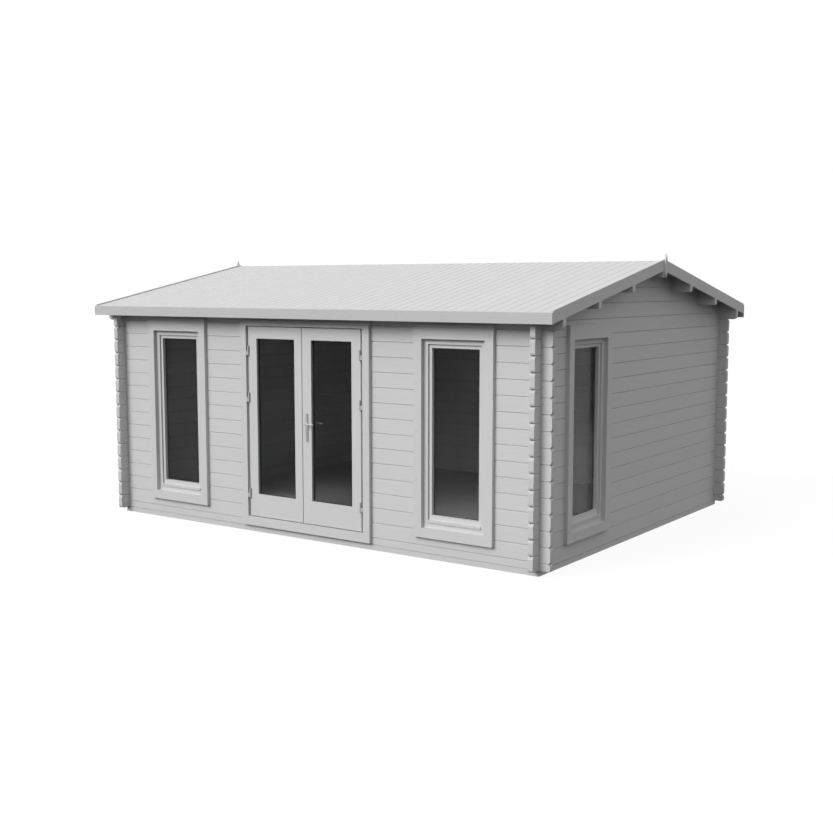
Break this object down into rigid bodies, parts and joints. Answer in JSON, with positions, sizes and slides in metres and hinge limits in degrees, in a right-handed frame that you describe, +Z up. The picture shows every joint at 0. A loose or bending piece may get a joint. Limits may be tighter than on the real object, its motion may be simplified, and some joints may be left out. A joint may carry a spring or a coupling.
{
  "type": "log cabin",
  "caption": "Garden log cabin with notched interlocking corners, a shallow apex roof on purlins, tall fixed windows and a glazed double door that swings outwards.",
  "frame": {"origin": "on the ground, under the middle of the cabin", "axes": "+X along the door wall towards the gable with the window, -Y out of the door, +Z up"},
  "size_m": [5.212, 4.1564, 2.5695],
  "materials": {
    "log_timber": "pale, unvarnished",
    "base_timber": "sawn",
    "floor_timber": "planed",
    "roof_timber": "pale, matt",
    "trim_timber": "planed, matt",
    "joinery_timber": "planed, matt",
    "window_glass": "clear",
    "hardware_metal": "satin"
  },
  "bodies": {
    "cabin": {"long_bearers": "base_timber", "cross_bearers": "base_timber", "floor_deck": "floor_timber", "front_logs_even": "log_timber", "front_logs_odd": "log_timber", "back_logs_even": "log_timber", "back_logs_odd": "log_timber", "left_gable_logs_even": "log_timber", "left_gable_logs_odd": "log_timber", "right_gable_logs_even": "log_timber", "right_gable_logs_odd": "log_timber", "front_plate": "log_timber", "back_plate": "log_timber", "ridge_purlin": "log_timber", "front_purlins": "log_timber", "back_purlins": "log_timber", "front_roof_deck": "roof_timber", "back_roof_deck": "roof_timber", "front_eave_board": "trim_timber", "back_eave_board": "trim_timber", "front_gable_boards": "trim_timber", "back_gable_boards": "trim_timber", "gable_spikes": "trim_timber", "window_jambs": "joinery_timber", "window_rails": "joinery_timber", "window_sashes": "joinery_timber", "window_panes": "window_glass", "door_jambs": "joinery_timber", "door_head": "joinery_timber", "door_threshold": "joinery_timber", "jamb_hinge_halves": "hardware_metal"},
    "left_door": {"left_door_stiles": "joinery_timber", "left_door_rails": "joinery_timber", "left_door_pane": "window_glass", "left_leaf_hinge_halves": "hardware_metal"},
    "right_door": {"right_door_stiles": "joinery_timber", "right_door_rails": "joinery_timber", "right_door_pane": "window_glass", "right_leaf_hinge_halves": "hardware_metal", "handle_plates": "hardware_metal"},
    "lever": {"lever_handle": "hardware_metal"}
  },
  "joints": [
    {"name": "left_door_hinge", "type": "hinge", "parent": "cabin", "child": "left_door", "pos_m": [-0.648, -1.933, 1], "axis": [0, 0, -1], "range_deg": [0, 90]},
    {"name": "right_door_hinge", "type": "hinge", "parent": "cabin", "child": "right_door", "pos_m": [0.648, -1.933, 1], "axis": [0, 0, 1], "range_deg": [0, 90]},
    {"name": "lever_turn", "type": "hinge", "parent": "right_door", "child": "lever", "pos_m": [0.045, -1.9, 1.0605], "axis": [0, 1, 0], "range_deg": [0, 40], "stiffness_Nm_per_rad": 1.5, "springref_deg": -20.05}
  ]
}
